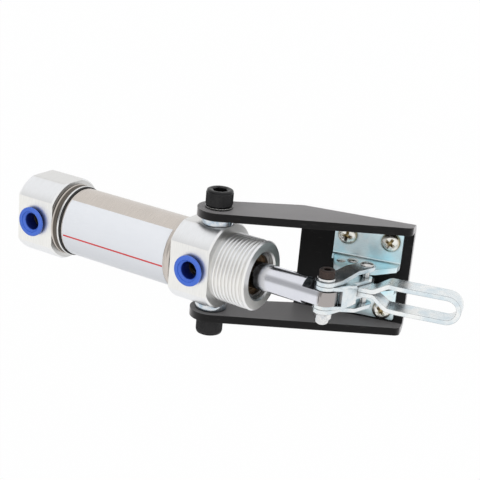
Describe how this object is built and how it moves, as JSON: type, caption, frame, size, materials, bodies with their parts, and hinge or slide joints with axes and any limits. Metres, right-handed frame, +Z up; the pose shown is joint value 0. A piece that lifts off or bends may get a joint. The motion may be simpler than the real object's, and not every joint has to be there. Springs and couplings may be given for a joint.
{
  "type": "pneumatic hold-down clamp",
  "caption": "Air cylinder rocking in a folded bracket works a small toggle clamp whose U-shaped arm swings down onto the work.",
  "frame": {"origin": "middle of the underside of the bracket's web", "axes": "+X towards the tip of the clamping arm, +Y to the side of the handle bolt's head, +Z up from the mounting face"},
  "size_m": [0.1755, 0.0558, 0.0509],
  "materials": {
    "black_steel": "satin black coating over folded sheet steel",
    "zinc_plated_steel": "bright zinc plating, slightly bluish, satin",
    "polished_strip": "bright plated strip steel, satin",
    "rivet_steel": "plated rivet steel",
    "screw_zinc": "yellowish zinc-plated screws",
    "black_screw": "black oxide screws, slightly oily",
    "bright_nut": "bright plated cap nut and washer",
    "link_steel": "plain plated steel",
    "rod_chrome": "hard chromed and polished rod",
    "head_aluminium": "satin clear anodised",
    "barrel_steel": "drawn stainless tube",
    "band_steel": "dull spring steel band",
    "bronze": "sintered bronze",
    "seal_rubber": "black nitrile rubber",
    "spring_steel": "phosphated spring steel",
    "plated_spacer": "bright plated spacer",
    "piston_aluminium": "turned aluminium",
    "wear_plastic": "plain plastic guide strip",
    "fitting_brass": "nickel-free brass sleeve",
    "collet_blue": "moulded blue plastic"
  },
  "bodies": {
    "frame": {"bracket": "black_steel", "base_plate_left": "zinc_plated_steel", "base_plate_right": "zinc_plated_steel", "base_screw_rear_right": "screw_zinc", "base_screw_rear_left": "screw_zinc", "base_screw_front_right": "screw_zinc", "base_screw_front_left": "screw_zinc", "bar_pivot_rivet": "rivet_steel", "link_pivot_rivet": "rivet_steel"},
    "arm": {"clamp_bar": "polished_strip"},
    "handle": {"handle_channel": "polished_strip", "handle_plate_left": "polished_strip", "handle_plate_right": "polished_strip", "handle_pivot_rivet": "rivet_steel", "handle_bolt": "black_screw", "handle_washer_left": "bright_nut", "handle_washer_right": "bright_nut", "handle_nut": "bright_nut"},
    "link": {"link_plate": "link_steel", "link_pin": "link_steel"},
    "cylinder": {"front_head": "head_aluminium", "rear_head": "head_aluminium", "barrel": "barrel_steel", "rear_band": "band_steel", "rod_bush": "bronze", "rod_seal": "seal_rubber", "circlip": "spring_steel", "trunnion_screw_left": "black_screw", "trunnion_screw_right": "black_screw", "spring_washer_left": "spring_steel", "spring_washer_right": "spring_steel", "trunnion_spacer_left": "plated_spacer", "trunnion_spacer_right": "plated_spacer", "fitting_sleeve_front": "fitting_brass", "fitting_sleeve_rear": "fitting_brass", "tube_seal_front": "seal_rubber", "tube_seal_rear": "seal_rubber", "grip_ring_front": "spring_steel", "grip_ring_rear": "spring_steel"},
    "rod": {"piston_rod": "rod_chrome", "piston": "piston_aluminium", "piston_seal_rear": "seal_rubber", "piston_seal_front": "seal_rubber", "piston_wear_ring": "wear_plastic"},
    "front_release": {"collet_front": "collet_blue"},
    "rear_release": {"collet_rear": "collet_blue"}
  },
  "joints": [
    {"name": "arm_swing", "type": "hinge", "parent": "frame", "child": "arm", "pos_m": [0.001, 0, 0.0098], "axis": [0, -1, 0], "range_deg": [0, 70]},
    {"name": "handle_turn", "type": "hinge", "parent": "arm", "child": "handle", "pos_m": [0.0078, 0, 0.0182], "axis": [0, -1, 0], "range_deg": [-45.63, 0]},
    {"name": "link_turn", "type": "hinge", "parent": "frame", "child": "link", "pos_m": [-0.003, 0, 0.012], "axis": [0, -1, 0], "range_deg": [0, 130.03]},
    {"name": "cylinder_rock", "type": "hinge", "parent": "frame", "child": "cylinder", "pos_m": [-0.0475, 0, 0.0234], "axis": [0, -1, 0], "range_deg": [0, 2.23]},
    {"name": "rod_stroke", "type": "slide", "parent": "cylinder", "child": "rod", "axis": [0.9689, 0, 0.2476], "range_m": [-0.0187, 0]},
    {"name": "front_collet_push", "type": "slide", "parent": "cylinder", "child": "front_release", "axis": [0.2476, 0, -0.9689], "range_m": [0, 0.0008], "stiffness_N_per_m": 200},
    {"name": "rear_collet_push", "type": "slide", "parent": "cylinder", "child": "rear_release", "axis": [0.2476, 0, -0.9689], "range_m": [0, 0.0008], "stiffness_N_per_m": 200}
  ],
  "couplings": [
    {"joint": "handle_turn", "follows": "arm_swing", "ratio": -0.65186},
    {"joint": "link_turn", "follows": "arm_swing", "ratio": 1.8576},
    {"joint": "cylinder_rock", "follows": "arm_swing", "ratio": 0.031814},
    {"joint": "rod_stroke", "follows": "arm_swing", "m_per_rad": -0.015307}
  ]
}
